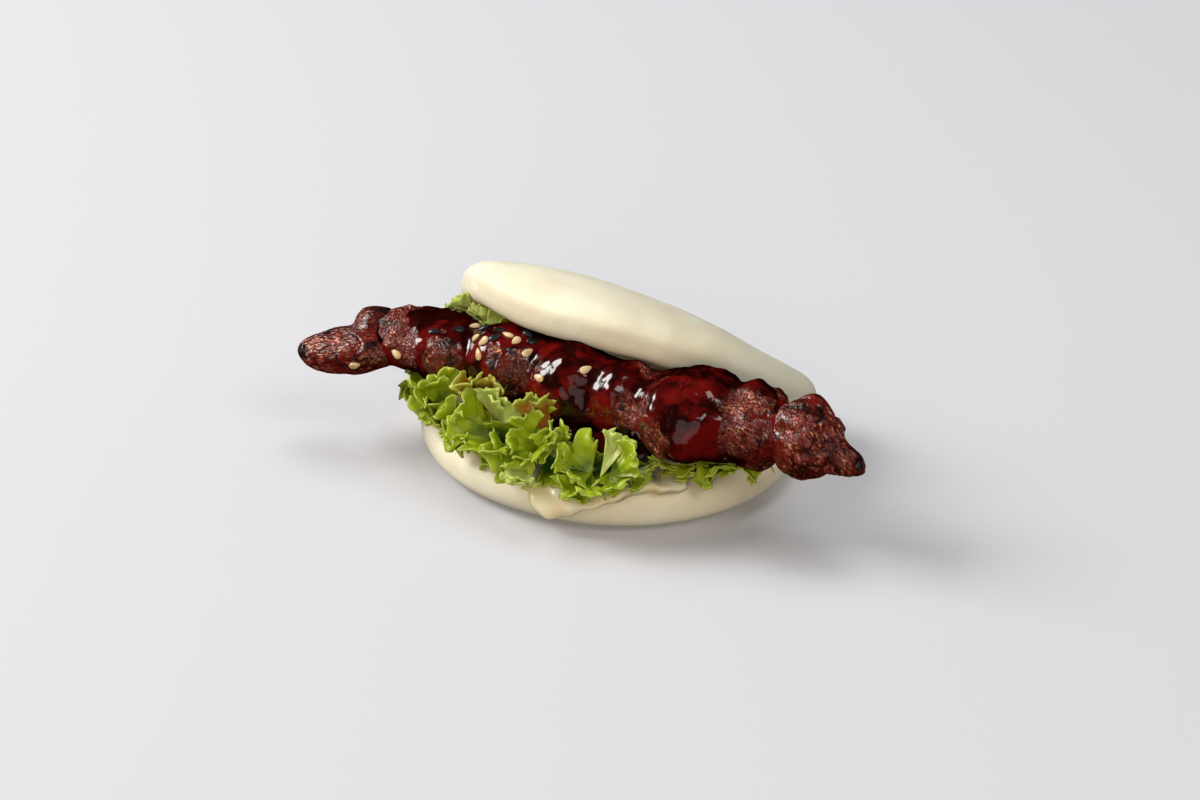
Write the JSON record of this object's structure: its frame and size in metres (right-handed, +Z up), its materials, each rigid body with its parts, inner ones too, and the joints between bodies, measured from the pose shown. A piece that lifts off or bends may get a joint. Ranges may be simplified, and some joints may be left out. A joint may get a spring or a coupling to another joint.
{
  "type": "chicken bao bun",
  "caption": "Folded steamed bun holding a row of grilled glazed chicken pieces, curly lettuce and mayonnaise, with sesame seeds.",
  "frame": {"origin": "on the bun's flat underside, below the middle of the lower flap", "axes": "+X along the fold and the row of chicken, the open mouth of the bun faces -Y, +Z up"},
  "size_m": [0.1552, 0.0795, 0.0491],
  "materials": {
    "steamed_dough": "soft matt steamed dough, ivory",
    "glazed_chicken": "grilled chicken under a thick dark red-brown glaze, charred at its high spots",
    "green_leaf": "thin bright yellow-green lettuce, slightly glossy",
    "mayonnaise": "glossy pale cream"
  },
  "bodies": {
    "root": {"bun": "steamed_dough", "mayonnaise": "mayonnaise", "chicken_1": "glazed_chicken", "chicken_2": "glazed_chicken", "chicken_3": "glazed_chicken", "chicken_4": "glazed_chicken", "chicken_5": "glazed_chicken", "chicken_6": "glazed_chicken", "chicken_7": "glazed_chicken", "chicken_8": "glazed_chicken", "leaf_left": "green_leaf", "leaf_middle": "green_leaf", "leaf_right": "green_leaf", "leaf_back": "green_leaf"}
  },
  "joints": []
}
